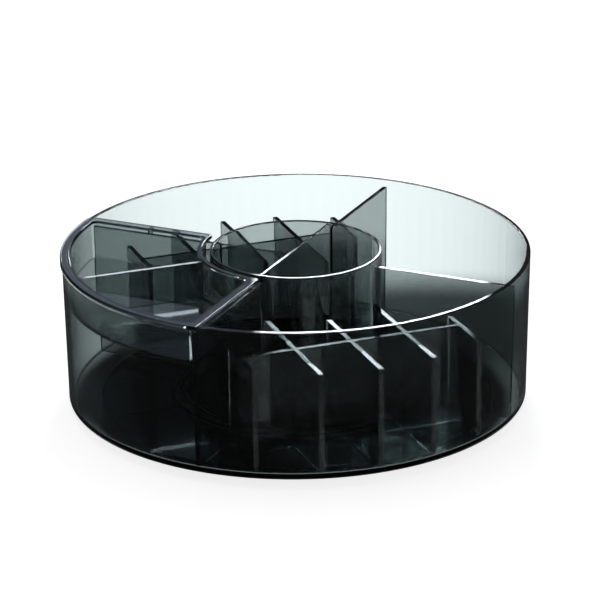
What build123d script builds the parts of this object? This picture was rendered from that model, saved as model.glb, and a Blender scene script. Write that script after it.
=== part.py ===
from build123d import *
from math import cos, radians, sin, sqrt
import os

# A round smoked-plastic organizer drum that turns on a ball-bearing base.
# It holds a fixed centre cup, four sector dividers, a lift-out tray and two lift-out grid inserts.
# Millimetres, +Z up, the origin on the table under the turning axis, the front grid towards -Y.

# Drum
drum_diameter = 295.0
drum_height = 94.5
drum_draft = 1.5
wall_thickness = 3.0
floor_thickness = 2.3
floor_height = 2.8
ground_gap = 6.5
floor_fillet = 1.2
rim_round = 0.6
foot_round = 1.2
mark_place = (81.0, -106.0)
mark_radii = (4.5, 2.7, 0.9)
mark_line = 0.5
mark_height = 0.25

# Centre cup and the flat panels welded round and inside it
cup_diameter = 108.7
cup_wall = 2.3
cup_draft = 0.7
cup_rim_drop = 0.4
panel_thickness = 3.0
panel_top_drop = 4.7
cup_panel_thickness = 2.0
panel_round = 0.3
weld_gap = 0.05

# Lift-out tray over the left sector
tray_depth = 26.5
tray_wall = 2.0
tray_draft_angle = 1.2
tray_outer_radius = 144.1
tray_inner_radius = 60.5
tray_side_inset = 2.0
tray_corner = 5.0
tray_bottom_round = 1.4
tray_inner_round = 0.8
tray_divider_thickness = 2.2
tray_divider_drop = 0.6
tray_divider_bite = 0.4
lip_thickness = 2.0
lip_overhang = 1.1
lip_cup_radius = 59.0
lip_side_reach = 2.7
lip_corner = 3.0
lip_round = 0.8
skirt_thickness = 0.9
skirt_depth = 1.8
skirt_hook = 1.2
seat_gap = 0.1
seat_rib_length = 2.0

# Grid inserts: one long wall crossed by five fins
fin_count = 5
fin_pitch = 35.8
fin_thickness = 3.2
long_wall_reach = 92.9
grid_top = 0.70
grid_wall_gap = 1.6
grid_cup_gap = 2.2
grid_panel_gap = 3.4
grid_bottom_gap = 0.1
fin_toe = 1.6
grid_round = 0.2

# Turntable base, ball race and pivot
base_diameter = 250.0
base_thickness = 2.2
base_lift = 1.2
base_rim_width = 2.4
base_rim_height = 1.2
rib_count = 6
rib_width = 1.8
rib_height = 1.2
track_radius = 75.0
track_half_width = 5.0
track_drop = 1.4
ball_diameter = 4.0
ball_count = 12
race_clearance = 0.1
cage_half_width = 4.4
cage_thickness = 0.8
pocket_clearance = 0.15
collar_radius = 3.4
collar_height = 1.6
boss_radius = 6.0
boss_clearance = 0.08
hub_radius = 10.5
hub_height = 4.6
seat_bore_radius = 9.5
seat_bore_depth = 1.4
pivot_play = 0.1
washer_radius = 9.0
washer_thickness = 1.0
screw_radius = 1.55
screw_length = 5.6
screw_head_radius = 4.5
screw_head_height = 1.1
screw_slot_width = 1.2
screw_slot_depth = 0.6
screw_clearance = 0.05
foot_count = 6
foot_circle_radius = 110.0
foot_radius = 6.0
foot_height = 2.0
foot_recess = 0.8
foot_recess_clearance = 0.1
foot_edge = 0.4

# Heights and radii that follow from them
foot_z = ground_gap
rim_z = foot_z + drum_height
floor_top = foot_z + floor_height
floor_under = floor_top - floor_thickness
rim_radius = drum_diameter / 2
drum_foot_radius = rim_radius - drum_draft
panel_top = rim_z - panel_top_drop
cup_top = rim_z - cup_rim_drop
lip_under = rim_z - lip_thickness
tray_bottom = rim_z - tray_depth
base_top = base_lift + base_thickness
ball_radius = ball_diameter / 2
ball_z = (base_top + floor_under - track_drop) / 2
groove_radius = ball_radius + race_clearance
hub_seat = base_lift + seat_bore_depth
boss_end = hub_seat - pivot_play
sector_azimuths = {"front_left": 225, "front_right": 315, "back_right": 45, "back_left": 135}

os.makedirs("parts", exist_ok=True)


def save(piece, name):
    piece.label = name
    export_step(piece, f"parts/{name}.step")


def drum_radius(z):
    return drum_foot_radius + drum_draft * (z - foot_z) / drum_height


def cup_radius(z):
    return cup_diameter / 2 - cup_draft * (cup_top - z) / (cup_top - floor_top)


def upright_plane(azimuth):
    # Stands on the turning axis: its x runs outwards at that azimuth and its y runs up
    outwards = (cos(radians(azimuth)), sin(radians(azimuth)), 0)
    sideways = (sin(radians(azimuth)), -cos(radians(azimuth)), 0)
    return Plane(origin=(0, 0, 0), x_dir=outwards, z_dir=sideways)


def left_sector(inner, outer, inset):
    # Quarter ring about -X, its straight sides set in from the dividers' middle planes
    with BuildSketch(mode=Mode.PRIVATE) as ring:
        Circle(outer)
        Circle(inner, mode=Mode.SUBTRACT)
        with Locations((-inset * sqrt(2), 0)):
            Rectangle(2 * outer, 2 * outer, rotation=135, align=Align.MIN, mode=Mode.INTERSECT)
    return ring.sketch


def rounded_sector(inner, outer, inset, corner):
    with BuildSketch(mode=Mode.PRIVATE) as ring:
        add(left_sector(inner, outer, inset))
        fillet(ring.vertices(), corner)
    return ring.sketch


# Drum: floor, drafted wall, upper ball track and pivot boss in one turned form
with BuildPart() as drum:
    with BuildSketch(Plane.XZ) as drum_section:
        with BuildLine():
            Polyline(
                (0, floor_under),
                (drum_foot_radius - wall_thickness, floor_under),
                (drum_foot_radius - wall_thickness, foot_z),
                (drum_foot_radius, foot_z),
                (rim_radius, rim_z),
                (rim_radius - wall_thickness, rim_z),
                (drum_radius(floor_top) - wall_thickness, floor_top),
                (0, floor_top),
                close=True,
            )
        make_face()
        fillet(drum_section.vertices().group_by(Axis.Y)[-2].sort_by(Axis.X)[-1], floor_fillet)
        fillet(drum_section.vertices().group_by(Axis.Y)[-1], rim_round)
        fillet(drum_section.vertices().group_by(Axis.Y)[0].sort_by(Axis.X)[-1], foot_round)
    revolve(axis=Axis.Z)
    with BuildSketch(Plane.XY.offset(floor_under)):
        Circle(track_radius + track_half_width)
        Circle(track_radius - track_half_width, mode=Mode.SUBTRACT)
    extrude(amount=-track_drop)
    with BuildSketch(Plane.XY.offset(floor_under)):
        Circle(boss_radius)
    extrude(amount=boss_end - floor_under)
    with BuildSketch(Plane.XZ):
        with Locations((track_radius, ball_z)):
            Circle(groove_radius)
    revolve(axis=Axis.Z, mode=Mode.SUBTRACT)
    with BuildSketch(Plane.XY.offset(boss_end)):
        Circle(screw_radius + screw_clearance)
    extrude(amount=screw_length, mode=Mode.SUBTRACT)
    # A small ringed moulding mark stands on the floor in the right-hand end pocket
    with BuildSketch(Plane.XY.offset(floor_top)):
        with Locations(mark_place):
            for ring_radius in mark_radii:
                Circle(ring_radius)
                Circle(ring_radius - mark_line, mode=Mode.SUBTRACT)
    extrude(amount=mark_height)
    # The rim is lowered along the left sector, so that the tray's lip lies flush
    with BuildSketch(Plane.XY.offset(lip_under - seat_gap)):
        add(left_sector(tray_outer_radius - tray_wall, drum_diameter, -lip_side_reach - seat_gap))
    extrude(amount=2 * lip_thickness, mode=Mode.SUBTRACT)
save(drum.part, "drum")

# Centre cup: a drafted tube that stands on the drum's floor
with BuildPart() as center_cup:
    with BuildSketch(Plane.XZ) as cup_section:
        with BuildLine():
            Polyline(
                (cup_radius(floor_top) - cup_wall, floor_top + weld_gap),
                (cup_radius(floor_top), floor_top + weld_gap),
                (cup_radius(cup_top), cup_top),
                (cup_radius(cup_top) - cup_wall, cup_top),
                close=True,
            )
        make_face()
        fillet(cup_section.vertices().group_by(Axis.Y)[-1], rim_round)
    revolve(axis=Axis.Z)
save(center_cup.part, "center_cup")

# Sector dividers: four flat panels from the cup out to the drum's wall
for place, azimuth in sector_azimuths.items():
    with BuildPart() as sector_divider:
        with BuildSketch(upright_plane(azimuth)) as panel_outline:
            with BuildLine():
                Polyline(
                    (cup_radius(floor_top) + weld_gap, floor_top + weld_gap),
                    (drum_radius(floor_top) - wall_thickness - weld_gap, floor_top + weld_gap),
                    (drum_radius(panel_top) - wall_thickness - weld_gap, panel_top),
                    (cup_radius(panel_top) + weld_gap, panel_top),
                    close=True,
                )
            make_face()
            fillet(panel_outline.vertices().group_by(Axis.Y)[0].sort_by(Axis.X)[-1], floor_fillet)
        extrude(amount=panel_thickness / 2, both=True)
        fillet(sector_divider.faces().sort_by(Axis.Z)[-1].edges().sort_by(SortBy.LENGTH)[-2:], panel_round)
    save(sector_divider.part, f"sector_divider_{place}")

# Cup dividers: a long panel across the cup, in line with two sector dividers, and a short one out from its middle
cup_floor_reach = cup_radius(floor_top) - cup_wall - weld_gap
cup_panel_reach = cup_radius(panel_top) - cup_wall - weld_gap
cup_rim_reach = cup_radius(cup_top) - cup_wall - weld_gap - rim_round
with BuildPart() as cup_divider_long:
    with BuildSketch(upright_plane(sector_azimuths["back_right"])):
        with BuildLine():
            Polyline(
                (-cup_floor_reach, floor_top + weld_gap),
                (cup_floor_reach, floor_top + weld_gap),
                (cup_rim_reach, cup_top),
                (-cup_rim_reach, cup_top),
                close=True,
            )
        make_face()
    extrude(amount=cup_panel_thickness / 2, both=True)
    fillet(cup_divider_long.faces().sort_by(Axis.Z)[-1].edges().sort_by(SortBy.LENGTH)[-2:], panel_round)
save(cup_divider_long.part, "cup_divider_long")

with BuildPart() as cup_divider_short:
    with BuildSketch(upright_plane(sector_azimuths["back_left"])):
        with BuildLine():
            Polyline(
                (cup_panel_thickness / 2 + weld_gap, floor_top + weld_gap),
                (cup_floor_reach, floor_top + weld_gap),
                (cup_panel_reach, panel_top),
                (cup_panel_thickness / 2 + weld_gap, panel_top),
                close=True,
            )
        make_face()
    extrude(amount=cup_panel_thickness / 2, both=True)
    fillet(cup_divider_short.faces().sort_by(Axis.Z)[-1].edges().sort_by(SortBy.LENGTH)[-2:], panel_round)
save(cup_divider_short.part, "cup_divider_short")

# Lift-out tray: a drafted pocket with a flat lip, hooked over the rim and the two dividers beside it
with BuildPart() as tray:
    with BuildSketch(Plane.XY.offset(lip_under)):
        add(rounded_sector(tray_inner_radius, tray_outer_radius, tray_side_inset, tray_corner))
    extrude(amount=tray_bottom - lip_under, taper=tray_draft_angle)
    fillet(tray.faces().sort_by(Axis.Z)[0].edges(), tray_bottom_round)
    with BuildSketch(Plane.XY.offset(lip_under)):
        add(
            rounded_sector(
                tray_inner_radius + tray_wall,
                tray_outer_radius - tray_wall,
                tray_side_inset + tray_wall,
                tray_corner - tray_wall,
            )
        )
    extrude(amount=tray_bottom + tray_wall - lip_under, taper=tray_draft_angle, mode=Mode.SUBTRACT)
    tray_floor = tray.faces().filter_by(Axis.Z).sort_by(Axis.Z)[1]
    fillet(tray_floor.edges(), tray_inner_round)
    with BuildSketch(Plane.XY.offset(lip_under)):
        add(rounded_sector(lip_cup_radius, rim_radius + lip_overhang, -lip_side_reach, lip_corner))
        add(
            rounded_sector(
                tray_inner_radius + tray_wall,
                tray_outer_radius - tray_wall,
                tray_side_inset + tray_wall,
                tray_corner - tray_wall,
            ),
            mode=Mode.SUBTRACT,
        )
    extrude(amount=lip_thickness)
    fillet(tray.faces().sort_by(Axis.Z)[-1].edges(), lip_round)
    # Outer skirt hooks over the drum's rim
    with BuildSketch(Plane.XY.offset(lip_under)):
        add(
            left_sector(
                rim_radius + lip_overhang - skirt_thickness,
                rim_radius + lip_overhang,
                lip_corner - lip_side_reach,
            )
        )
    extrude(amount=-skirt_depth)
    # Side skirts hook over the dividers, and a seat rib in each channel rests on the divider
    with BuildSketch(Plane.XY.offset(lip_under)):
        add(left_sector(lip_cup_radius + lip_corner, tray_outer_radius, -lip_side_reach))
        add(left_sector(lip_cup_radius, rim_radius, skirt_thickness - lip_side_reach), mode=Mode.SUBTRACT)
    extrude(amount=panel_top - skirt_hook - lip_under)
    rib_middle = (tray_inner_radius + tray_outer_radius) / 2
    rib_width_across = tray_side_inset + tray_wall / 2 + lip_side_reach - skirt_thickness / 2
    rib_inset = (tray_side_inset + tray_wall / 2 - lip_side_reach + skirt_thickness / 2) / 2
    for side in (1, -1):
        rib_x = -(rib_middle + rib_inset) * sqrt(0.5)
        rib_y = side * (rib_middle - rib_inset) * sqrt(0.5)
        with BuildSketch(Plane.XY.offset(panel_top + seat_gap)):
            with Locations((rib_x, rib_y)):
                Rectangle(seat_rib_length, rib_width_across, rotation=-45 * side)
        extrude(amount=lip_under - panel_top - seat_gap)
    # The low wall that parts the tray in two
    divider_start = tray_inner_radius + tray_wall - tray_divider_bite
    divider_end = tray_outer_radius - tray_wall + tray_divider_bite
    with BuildSketch(Plane.XY.offset(tray_bottom + tray_wall / 2)):
        with Locations((-(divider_start + divider_end) / 2, 0)):
            Rectangle(divider_end - divider_start, tray_divider_thickness)
    extrude(amount=tray_depth - tray_wall / 2 - tray_divider_drop)
save(tray.part, "lift_out_tray")

# Grid inserts: the front one is drawn, and the back one is the same piece turned half round
grid_z = floor_top + grid_bottom_gap
grid_top_z = foot_z + grid_top * drum_height
fin_outer = drum_radius(floor_top) - wall_thickness - grid_wall_gap
fin_inner = cup_diameter / 2 + grid_cup_gap
fin_places = [fin_pitch * (i - (fin_count - 1) / 2) for i in range(fin_count)]
with BuildPart() as front_grid:
    for x in fin_places:
        edge = abs(x) + fin_thickness / 2
        cup_end = sqrt(fin_inner**2 - edge**2) if edge < fin_inner else 0
        near = max(cup_end, edge + grid_panel_gap * sqrt(2))
        far = sqrt(fin_outer**2 - edge**2)
        with BuildSketch(Plane.YZ.offset(x)) as fin:
            with BuildLine():
                Polyline(
                    (-near, grid_z),
                    (-far, grid_z),
                    (-far, grid_top_z),
                    (-near, grid_top_z),
                    close=True,
                )
            make_face()
            chamfer(fin.vertices().group_by(Axis.X)[0].sort_by(Axis.Y)[0], fin_toe)
        extrude(amount=fin_thickness / 2, both=True)
    with BuildSketch(Plane.XY.offset(grid_z)):
        with Locations((0, -long_wall_reach)):
            Rectangle(fin_places[-1] - fin_places[0], fin_thickness)
    extrude(amount=grid_top_z - grid_z)
    fillet(front_grid.faces().sort_by(Axis.Z)[-1].edges(), grid_round)
save(front_grid.part, "front_grid_insert")

with BuildPart() as back_grid:
    add(front_grid.part, rotation=(0, 0, 180))
save(back_grid.part, "back_grid_insert")

# Base plate: a ribbed disc with the lower ball track, the hub and recesses for the feet
with BuildPart() as base_plate:
    with BuildSketch(Plane.XY.offset(base_lift)):
        Circle(base_diameter / 2)
    extrude(amount=base_thickness)
    with BuildSketch(Plane.XY.offset(base_top)):
        Circle(base_diameter / 2)
        Circle(base_diameter / 2 - base_rim_width, mode=Mode.SUBTRACT)
    extrude(amount=base_rim_height)
    # Stiffening ribs run from the hub to the ball track, and on from there to the rim
    inner_rib_start = hub_radius - rib_width
    inner_rib_end = track_radius - track_half_width
    outer_rib_start = track_radius + track_half_width
    outer_rib_end = base_diameter / 2 - base_rim_width / 2
    with BuildSketch(Plane.XY.offset(base_top)):
        with PolarLocations((inner_rib_start + inner_rib_end) / 2, rib_count):
            Rectangle(inner_rib_end - inner_rib_start, rib_width)
        with PolarLocations((outer_rib_start + outer_rib_end) / 2, 2 * rib_count):
            Rectangle(outer_rib_end - outer_rib_start, rib_width)
    extrude(amount=rib_height)
    with BuildSketch(Plane.XY.offset(base_top)):
        Circle(hub_radius)
    extrude(amount=base_lift + hub_height - base_top)
    with BuildSketch(Plane.XY.offset(base_lift)):
        Circle(boss_radius + boss_clearance)
    extrude(amount=hub_height, mode=Mode.SUBTRACT)
    with BuildSketch(Plane.XY.offset(base_lift)):
        Circle(seat_bore_radius)
    extrude(amount=seat_bore_depth, mode=Mode.SUBTRACT)
    with BuildSketch(Plane.XZ):
        with Locations((track_radius, ball_z)):
            Circle(groove_radius)
    revolve(axis=Axis.Z, mode=Mode.SUBTRACT)
    with BuildSketch(Plane.XY.offset(base_lift)):
        with PolarLocations(foot_circle_radius, foot_count):
            Circle(foot_radius + foot_recess_clearance)
    extrude(amount=foot_recess, mode=Mode.SUBTRACT)
save(base_plate.part, "base_plate")

# Non-slip feet
for i in range(foot_count):
    foot_angle = radians(360 / foot_count * i)
    foot_plane = Plane((foot_circle_radius * cos(foot_angle), foot_circle_radius * sin(foot_angle), 0))
    with BuildPart() as foot_pad:
        with BuildSketch(foot_plane):
            Circle(foot_radius)
        extrude(amount=foot_height)
        chamfer(foot_pad.edges().sort_by(Axis.Z)[0], foot_edge)
    save(foot_pad.part, f"foot_pad_{i + 1}")

# Ball cage: a thin ring with a collared pocket for each ball
with BuildPart() as ball_cage:
    with BuildSketch(Plane.XY.offset(ball_z - cage_thickness / 2)):
        Circle(track_radius + cage_half_width)
        Circle(track_radius - cage_half_width, mode=Mode.SUBTRACT)
    extrude(amount=cage_thickness)
    with BuildSketch(Plane.XY.offset(ball_z - collar_height / 2)):
        with PolarLocations(track_radius, ball_count):
            Circle(collar_radius)
    extrude(amount=collar_height)
    with BuildSketch(Plane.XY.offset(ball_z - collar_height / 2)):
        with PolarLocations(track_radius, ball_count):
            Circle(ball_radius + pocket_clearance)
    extrude(amount=collar_height, mode=Mode.SUBTRACT)
save(ball_cage.part, "ball_cage")

# Steel balls
for i in range(ball_count):
    ball_angle = radians(360 / ball_count * i)
    with BuildPart() as ball:
        with Locations((track_radius * cos(ball_angle), track_radius * sin(ball_angle), ball_z)):
            Sphere(ball_radius)
    save(ball.part, f"bearing_ball_{i + 1:02d}")

# Pivot screw and washer, which hold the drum's boss down in the base's hub
with BuildPart() as pivot_washer:
    with BuildSketch(Plane.XY.offset(boss_end)):
        Circle(washer_radius)
        Circle(screw_radius + screw_clearance, mode=Mode.SUBTRACT)
    extrude(amount=-washer_thickness)
save(pivot_washer.part, "pivot_washer")

head_top = boss_end - washer_thickness
with BuildPart() as pivot_screw:
    with BuildSketch(Plane.XY.offset(head_top)):
        Circle(screw_head_radius)
    extrude(amount=-screw_head_height)
    fillet(pivot_screw.edges().sort_by(Axis.Z)[0], screw_head_height / 2)
    with BuildSketch(Plane.XY.offset(head_top)):
        Circle(screw_radius)
    extrude(amount=washer_thickness + screw_length - 2 * screw_clearance)
    with BuildSketch(Plane.XY.offset(head_top - screw_head_height)):
        Rectangle(screw_head_radius, screw_slot_width)
        Rectangle(screw_slot_width, screw_head_radius)
    extrude(amount=screw_slot_depth, mode=Mode.SUBTRACT)
save(pivot_screw.part, "pivot_screw")
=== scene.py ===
import math

import bpy
from mathutils import Matrix, Vector

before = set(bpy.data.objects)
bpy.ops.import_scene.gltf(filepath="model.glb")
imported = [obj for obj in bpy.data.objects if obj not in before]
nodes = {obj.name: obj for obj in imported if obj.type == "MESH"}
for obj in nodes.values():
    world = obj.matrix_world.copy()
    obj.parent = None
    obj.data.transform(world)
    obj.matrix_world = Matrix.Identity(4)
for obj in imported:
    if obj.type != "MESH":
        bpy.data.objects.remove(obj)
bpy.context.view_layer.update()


def hexColour(code):
    channels = [int(code[i:i + 2], 16) / 255 for i in (1, 3, 5)]
    linear = [c / 12.92 if c <= 0.04045 else ((c + 0.055) / 1.055) ** 2.4 for c in channels]
    return (*linear, 1.0)


def addNode(tree, kind, inputs=None, **settings):
    # an input is a plain value, a socket, or a node whose first output is meant
    node = tree.nodes.new("ShaderNode" + kind)
    for name, value in settings.items():
        setattr(node, name, value)
    for name, value in (inputs or {}).items():
        if isinstance(value, bpy.types.Node):
            value = value.outputs[0]
        if isinstance(value, bpy.types.NodeSocket):
            tree.links.new(value, node.inputs[name])
        else:
            node.inputs[name].default_value = value
    return node


def newMaterial(name):
    material = bpy.data.materials.new(name)
    material.use_nodes = True
    material.node_tree.nodes.clear()
    return material, material.node_tree


def mirroredOnly(tree, path):
    # a ray that a rough clear surface bends counts as glossy as well as transmitted, so those are taken off
    return addNode(tree, "Math", {0: path.outputs["Is Glossy Ray"], 1: path.outputs["Is Transmission Ray"]},
                   operation="SUBTRACT", use_clamp=True)


def perMetre(millimetres):
    return 1000.0 / millimetres  # texture scale whose cells are about this wide


# Smoked polystyrene, injection moulded against polished steel: clear and glassy, grey with a hint of green,
# darker the more of it the eye looks through, with a faint unevenness that makes the highlights waver
smokedPlastic = {
    "ior": 1.59,
    "roughness": (0.003, 0.018),
    "hazePatchMm": 22.0,
    "hazeDetail": 4.0,
    "hazeRange": (0.35, 0.70),  # the part of the noise that the roughness is spread over
    "flowWaveMm": 34.0,
    "flowDetail": 1.0,
    "waveDepthMm": 0.03,
    "waveStrength": 0.25,
    # painted shade in the reflections: a grey specular tint dims the mirror image, standing in for a
    # polarising filter
    "mirror": 0.6,  # share of the mirror image that is kept, as behind a polarising filter
    "surface": "#ffffff",
    "tint": "#7c9190",
    "density": 400.0,  # absorption per metre, so it shows in a few millimetres of wall
}


def makeSmokedPlastic(values):
    material, tree = newMaterial("mouldedSmokedPolystyrene")
    place = addNode(tree, "TexCoord").outputs["Object"]
    haze = addNode(tree, "TexNoise", {"Vector": place, "Scale": perMetre(values["hazePatchMm"]),
                                      "Detail": values["hazeDetail"]})
    rough = addNode(tree, "MapRange", {"Value": haze.outputs["Fac"], "From Min": values["hazeRange"][0],
                                       "From Max": values["hazeRange"][1], "To Min": values["roughness"][0],
                                       "To Max": values["roughness"][1]})
    flow = addNode(tree, "TexNoise", {"Vector": place, "Scale": perMetre(values["flowWaveMm"]),
                                      "Detail": values["flowDetail"]})
    wave = addNode(tree, "Bump", {"Height": flow.outputs["Fac"], "Strength": values["waveStrength"],
                                  "Distance": values["waveDepthMm"] / 1000})
    mirror = values["mirror"]
    surface = addNode(tree, "BsdfPrincipled", {
        "Base Color": hexColour(values["surface"]), "Transmission Weight": 1.0, "IOR": values["ior"],
        "Specular Tint": (mirror, mirror, mirror, 1.0), "Roughness": rough, "Normal": wave})
    smoke = addNode(tree, "VolumeAbsorption", {"Color": hexColour(values["tint"]),
                                               "Density": values["density"]})
    addNode(tree, "OutputMaterial", {"Surface": surface, "Volume": smoke})
    return material


# The grain of these finishes is under 0.1 mm on the real pieces, and is drawn coarser so that it shows.
grainValues = {"patchDetail": 5.0, "grainDetail": 2.0, "grainStrength": 0.2}

# Black polystyrene base, moulded with a fine spark-eroded texture: satin, a shade lighter where it is rubbed
basePlastic = {"colour": "#0c0e0e", "worn": "#16191a", "patchMm": 30.0, "roughness": (0.38, 0.55),
               "grainMm": 0.9, "grainDepthMm": 0.10, "finish": {"Metallic": 0.0, "IOR": 1.59}}

# Black rubber feet: dull, with a dusty bloom in small patches
footRubber = {"colour": "#0b0b0c", "worn": "#232120", "patchMm": 3.5, "roughness": (0.70, 0.92),
              "grainMm": 0.35, "grainDepthMm": 0.06, "finish": {"Metallic": 0.0, "IOR": 1.52}}

# White acetal cage: waxy and slightly yellow where grease has lain
cagePlastic = {"colour": "#e6e4dd", "worn": "#d3cebd", "patchMm": 9.0, "roughness": (0.28, 0.42),
               "grainMm": 0.6, "grainDepthMm": 0.03, "finish": {"Metallic": 0.0, "IOR": 1.48}}

# Bearing steel balls: bright and mirror-like, with the faint track of their rolling
ballSteel = {"colour": "#d2d4d6", "worn": "#b9bcc0", "patchMm": 1.6, "roughness": (0.05, 0.14),
             "grainMm": 0.2, "grainDepthMm": 0.002, "finish": {"Metallic": 1.0}}

# Zinc plating on the screw and its washer: bluish, satin and slightly blotched
pivotSteel = {"colour": "#c3c7cd", "worn": "#9fa5ad", "patchMm": 2.5, "roughness": (0.24, 0.40),
              "grainMm": 0.3, "grainDepthMm": 0.01, "finish": {"Metallic": 1.0}}


def makeOpaque(name, values):
    material, tree = newMaterial(name)
    place = addNode(tree, "TexCoord").outputs["Object"]
    patch = addNode(tree, "TexNoise", {"Vector": place, "Scale": perMetre(values["patchMm"]),
                                       "Detail": grainValues["patchDetail"]}).outputs["Fac"]
    colour = addNode(tree, "MixRGB", {"Fac": patch, "Color1": hexColour(values["colour"]),
                                      "Color2": hexColour(values["worn"])})
    rough = addNode(tree, "MapRange", {"Value": patch, "To Min": values["roughness"][0],
                                       "To Max": values["roughness"][1]})
    grain = addNode(tree, "TexNoise", {"Vector": place, "Scale": perMetre(values["grainMm"]),
                                       "Detail": grainValues["grainDetail"]})
    bump = addNode(tree, "Bump", {"Height": grain.outputs["Fac"], "Strength": grainValues["grainStrength"],
                                  "Distance": values["grainDepthMm"] / 1000})
    surface = addNode(tree, "BsdfPrincipled", {"Base Color": colour, "Roughness": rough, "Normal": bump,
                                               **values["finish"]})
    addNode(tree, "OutputMaterial", {"Surface": surface})
    return material


materials = {
    "smoked_plastic": makeSmokedPlastic(smokedPlastic),
    "base_plastic": makeOpaque("mouldedBlackPolystyrene", basePlastic),
    "foot_rubber": makeOpaque("blackRubber", footRubber),
    "cage_plastic": makeOpaque("whiteAcetal", cagePlastic),
    "ball_steel": makeOpaque("polishedBearingSteel", ballSteel),
    "pivot_steel": makeOpaque("zincPlatedSteel", pivotSteel),
}
for part in nodes.values():
    for i, slot in enumerate(part.data.materials):
        part.data.materials[i] = materials[slot.name]
print("materials on the frame")

# Pale floor: white to the camera, with the object's own shadow kept, and brighter than white through the
# plastic, as an overexposed sweep is. Through the plastic it carries a painted shadow under the drum and to
# its right, a painted ring of light under the front edge, painted dim reflections in the walls, and a painted
# bright table in the mirrors behind the front wall.
floorValues = {
    "size": 12.0,
    "colour": "#c4c5c5",
    "glow": "#ffffff",
    "cameraGlow": 0.805,  # added to what the lamps give, up to white
    "throughGlow": 2.1,  # the open table, through the plastic
    "paintedRimLightGlow": 1.0,  # the ring under the front edge
    # painted reflection: the table in front is painted brighter than white in the mirrors behind the front
    # wall
    "paintedReflectionGlow": 4.0,  # the table in front, in the mirrors behind the front wall
    "insideBounces": 4.5,  # a path with more bounces than this has passed the front wall
    # painted dark reflection: the table shows only this dim glow in the outer walls
    "mirrored": 0.03,  # the table in the outer walls
    # painted shadow: the centre of the shadow painted on the table, to the drum's right
    "paintedShadowCentre": (0.087, -0.03, 0.0),
    # what is measured, then the distance in metres where the fade starts and the one where it is full
    "fades": {
        "front": ("depth", 0.03, -0.03),
        # painted shadow: these two fades take the glow away near the painted shadow's centre and under the
        # drum
        "pastPaintedShadow": ("fromPaintedShadow", 0.17, 0.235),
        "pastDrum": ("radius", 0.140, 0.165),
        "nearDrum": ("radius", 0.33, 0.27),
        # painted light: a ring of glow on the table under the drum's front edge
        "paintedRimLightStart": ("radius", 0.131, 0.139),
        "paintedRimLightEnd": ("radius", 0.158, 0.150),
        # painted reflection: where the table in front is painted bright in the inner mirrors
        "paintedReflectionReach": ("radius", 0.150, 0.165),
        "paintedReflectionLeft": ("across", -0.12, -0.05),
    },
}


def makeFloor(values):
    bpy.ops.object.select_all(action="DESELECT")
    bpy.ops.mesh.primitive_plane_add(size=values["size"], location=(0, 0, 0))
    floor = bpy.context.object
    floor.name = "floor"
    material, tree = newMaterial("paleFloor")
    path = addNode(tree, "LightPath")
    place = addNode(tree, "TexCoord").outputs["Object"]
    offset = addNode(tree, "VectorMath", {0: place, 1: values["paintedShadowCentre"]}, operation="SUBTRACT")
    axes = addNode(tree, "SeparateXYZ", {"Vector": place})
    measures = {
        "across": axes.outputs["X"],
        "depth": axes.outputs["Y"],
        "radius": addNode(tree, "VectorMath", {0: place}, operation="LENGTH").outputs["Value"],
        "fromPaintedShadow": addNode(tree, "VectorMath", {0: offset}, operation="LENGTH").outputs["Value"],
    }
    fades = {}
    for name, (measure, start, full) in values["fades"].items():
        fades[name] = addNode(tree, "MapRange", {"Value": measures[measure], "From Min": start,
                                                 "From Max": full}, interpolation_type="SMOOTHSTEP")

    # each wall passed adds two bounces, so a path with one mirror in it has an odd count of them
    wallBounces = 2.0
    odd = addNode(tree, "Math", {0: path.outputs["Ray Depth"], 1: wallBounces}, operation="MODULO")
    deep = addNode(tree, "Math", {0: path.outputs["Ray Depth"], 1: values["insideBounces"]},
                   operation="GREATER_THAN")

    # painted dark reflection: the walls' mirror image of the near table is painted out of the glow
    near = addNode(tree, "Math", {0: fades["front"], 1: fades["nearDrum"]}, operation="MAXIMUM")
    paintedDarkMirror = addNode(tree, "Math", {0: odd, 1: near}, operation="MULTIPLY")
    kept = addNode(tree, "Math", {0: 1.0, 1: paintedDarkMirror}, operation="SUBTRACT")

    # painted light and shade on the glow: the open table with a painted shadow under and beside the drum, a
    # painted ring of light under the front edge that lights the floor's corner, and a painted reflection of
    # the table in front in the pieces behind the front wall
    layers = [
        [values["throughGlow"], fades["pastPaintedShadow"], fades["pastDrum"], kept],
        [values["paintedRimLightGlow"], fades["paintedRimLightStart"], fades["paintedRimLightEnd"], fades["front"]],
        [values["paintedReflectionGlow"], odd, deep, fades["paintedReflectionReach"], fades["paintedReflectionLeft"], fades["front"]],
    ]
    seen = 0.0
    for strength, *factors in layers:
        for factor in factors:
            strength = addNode(tree, "Math", {0: strength, 1: factor}, operation="MULTIPLY")
        seen = addNode(tree, "Math", {0: seen, 1: strength}, operation="MAXIMUM")

    through = addNode(tree, "Math", {0: path.outputs["Is Transmission Ray"], 1: seen}, operation="MULTIPLY")
    glow = addNode(tree, "Math", {0: path.outputs["Is Camera Ray"], 1: values["cameraGlow"], 2: through},
                   operation="MULTIPLY_ADD")
    emit = addNode(tree, "Emission", {"Color": hexColour(values["glow"]), "Strength": glow})
    matt = addNode(tree, "BsdfDiffuse", {"Color": hexColour(values["colour"])})
    pale = addNode(tree, "AddShader", {0: emit, 1: matt})
    # painted dark reflection: mirrors see the floor as this dim glow
    dim = addNode(tree, "Emission", {"Color": hexColour(values["glow"]), "Strength": values["mirrored"]})
    both = addNode(tree, "MixShader", {0: mirroredOnly(tree, path), 1: pale, 2: dim})
    addNode(tree, "OutputMaterial", {"Surface": both})
    floor.data.materials.append(material)


makeFloor(floorValues)
print("floor")

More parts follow.
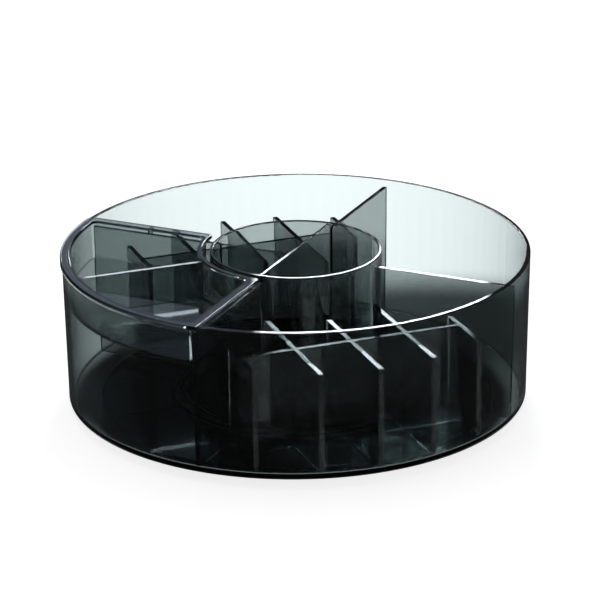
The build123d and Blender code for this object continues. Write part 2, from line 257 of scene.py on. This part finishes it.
# Soft studio light: a big softbox overhead and a weak one at the left. Behind are a narrow one that the level
# edges at the front mirror, a dim cool panel for the tray's lip, and a thin strip for the tray divider's top.
lightValues = {
    # the sky's strength to the camera, as fill, in mirrors and through the plastic
    "sky": "#ffffff", "camera": 1.0, "fill": 0.25, "mirrored": 0.08, "through": 0.15,
    "feather": 0.06,  # share of a cloth's width over which each edge fades
    "softboxes": {
        "top": {"power": 5.0, "size": (1.4, 1.0), "colour": "#ffffff",
                "place": (0.0, 0.2, 1.4), "aim": (0, 0, 0.05)},
        "back": {"power": 4.9, "size": (0.242, 0.395), "colour": "#f4f6ff",
                 "place": (0.389, 0.83, 0.6225), "aim": (0.204, -0.6, 0.55)},
        "backLeft": {"power": 0.075, "size": (0.26, 0.24), "colour": "#d2e0ff",
                     "place": (0.14, 0.83, 0.45), "aim": (0.0, -0.6, 0.45)},
        "strip": {"power": 0.0068, "size": (0.118, 0.004), "colour": "#eef4ff",
                  "place": (0.155, 0.83, 0.4214), "aim": (0.155, -0.6, 0.4214)},
        "left": {"power": 1.0, "size": (0.5, 1.0), "colour": "#ffffff",
                 "place": (-1.4, 0.1, 0.8), "aim": (0, 0, 0.05)},
    },
}


def softenEdges(lamp, colour, feather):
    # the light falls off towards the cloth's edges, so its mirror image ends softly
    lamp.use_nodes = True
    tree = lamp.node_tree
    tree.nodes.clear()
    half = 0.5  # the cloth runs from 0 to 1 each way
    cloth = addNode(tree, "NewGeometry").outputs["Parametric"]
    middle = addNode(tree, "VectorMath", {0: cloth, 1: (half, half, 0.0)}, operation="SUBTRACT")
    away = addNode(tree, "VectorMath", {0: middle}, operation="ABSOLUTE")
    sides = addNode(tree, "SeparateXYZ", {"Vector": away})
    glow = 1.0
    for side in (sides.outputs["X"], sides.outputs["Y"]):
        inner = addNode(tree, "MapRange", {"Value": side, "From Min": half, "From Max": half - feather},
                        interpolation_type="SMOOTHSTEP")
        glow = addNode(tree, "Math", {0: glow, 1: inner}, operation="MULTIPLY")
    emit = addNode(tree, "Emission", {"Color": colour, "Strength": glow})
    addNode(tree, "OutputLight", {"Surface": emit})


def makeLights(values):
    world = bpy.data.worlds.new("studio")
    bpy.context.scene.world = world
    world.use_nodes = True
    tree = world.node_tree
    tree.nodes.clear()
    path = addNode(tree, "LightPath")
    level = values["fill"]
    for ray, strength in ((path.outputs["Is Camera Ray"], values["camera"]),
                          (path.outputs["Is Transmission Ray"], values["through"]),
                          (mirroredOnly(tree, path), values["mirrored"])):
        level = addNode(tree, "MapRange", {"Value": ray, "To Min": level, "To Max": strength})
    sky = addNode(tree, "Background", {"Color": hexColour(values["sky"]), "Strength": level})
    addNode(tree, "OutputWorld", {"Surface": sky})
    for name, lamp in values["softboxes"].items():
        bpy.ops.object.light_add(type="AREA", location=lamp["place"])
        light = bpy.context.object
        light.name = name + "Softbox"
        light.data.shape = "RECTANGLE"
        light.data.size, light.data.size_y = lamp["size"]
        light.data.energy = lamp["power"]
        light.rotation_euler = (Vector(lamp["aim"]) - light.location).to_track_quat("-Z", "Y").to_euler()
        light.visible_camera = False
        softenEdges(light.data, hexColour(lamp["colour"]), values["feather"])


makeLights(lightValues)
print("lights")

# Camera, from the photograph's ellipses
cameraValues = {
    "place": (-0.6140, -1.6509, 0.7379), "turn": -20.4, "tip": 69.11, "roll": -0.632,
    "lens": 178.31, "sensor": 36.0, "shift": (0.00585, 0.0),
}
bpy.ops.object.camera_add(location=cameraValues["place"])
camera = bpy.context.object
camera.name = "camera"
turn = Matrix.Rotation(math.radians(cameraValues["turn"]), 4, "Z")
tip = Matrix.Rotation(math.radians(cameraValues["tip"]), 4, "X")
roll = Matrix.Rotation(math.radians(cameraValues["roll"]), 4, "Z")
camera.matrix_world = Matrix.Translation(cameraValues["place"]) @ turn @ tip @ roll
camera.data.lens = cameraValues["lens"]
camera.data.sensor_width = cameraValues["sensor"]
camera.data.shift_x, camera.data.shift_y = cameraValues["shift"]
scene = bpy.context.scene
scene.camera = camera
scene.view_settings.view_transform = "Standard"
print("camera")

# A look across the tub passes many clear walls, and each takes two bounces
bounces = {"through": 40, "mirrored": 10}
scene.cycles.max_bounces = bounces["through"]
scene.cycles.transmission_bounces = bounces["through"]
scene.cycles.glossy_bounces = bounces["mirrored"]
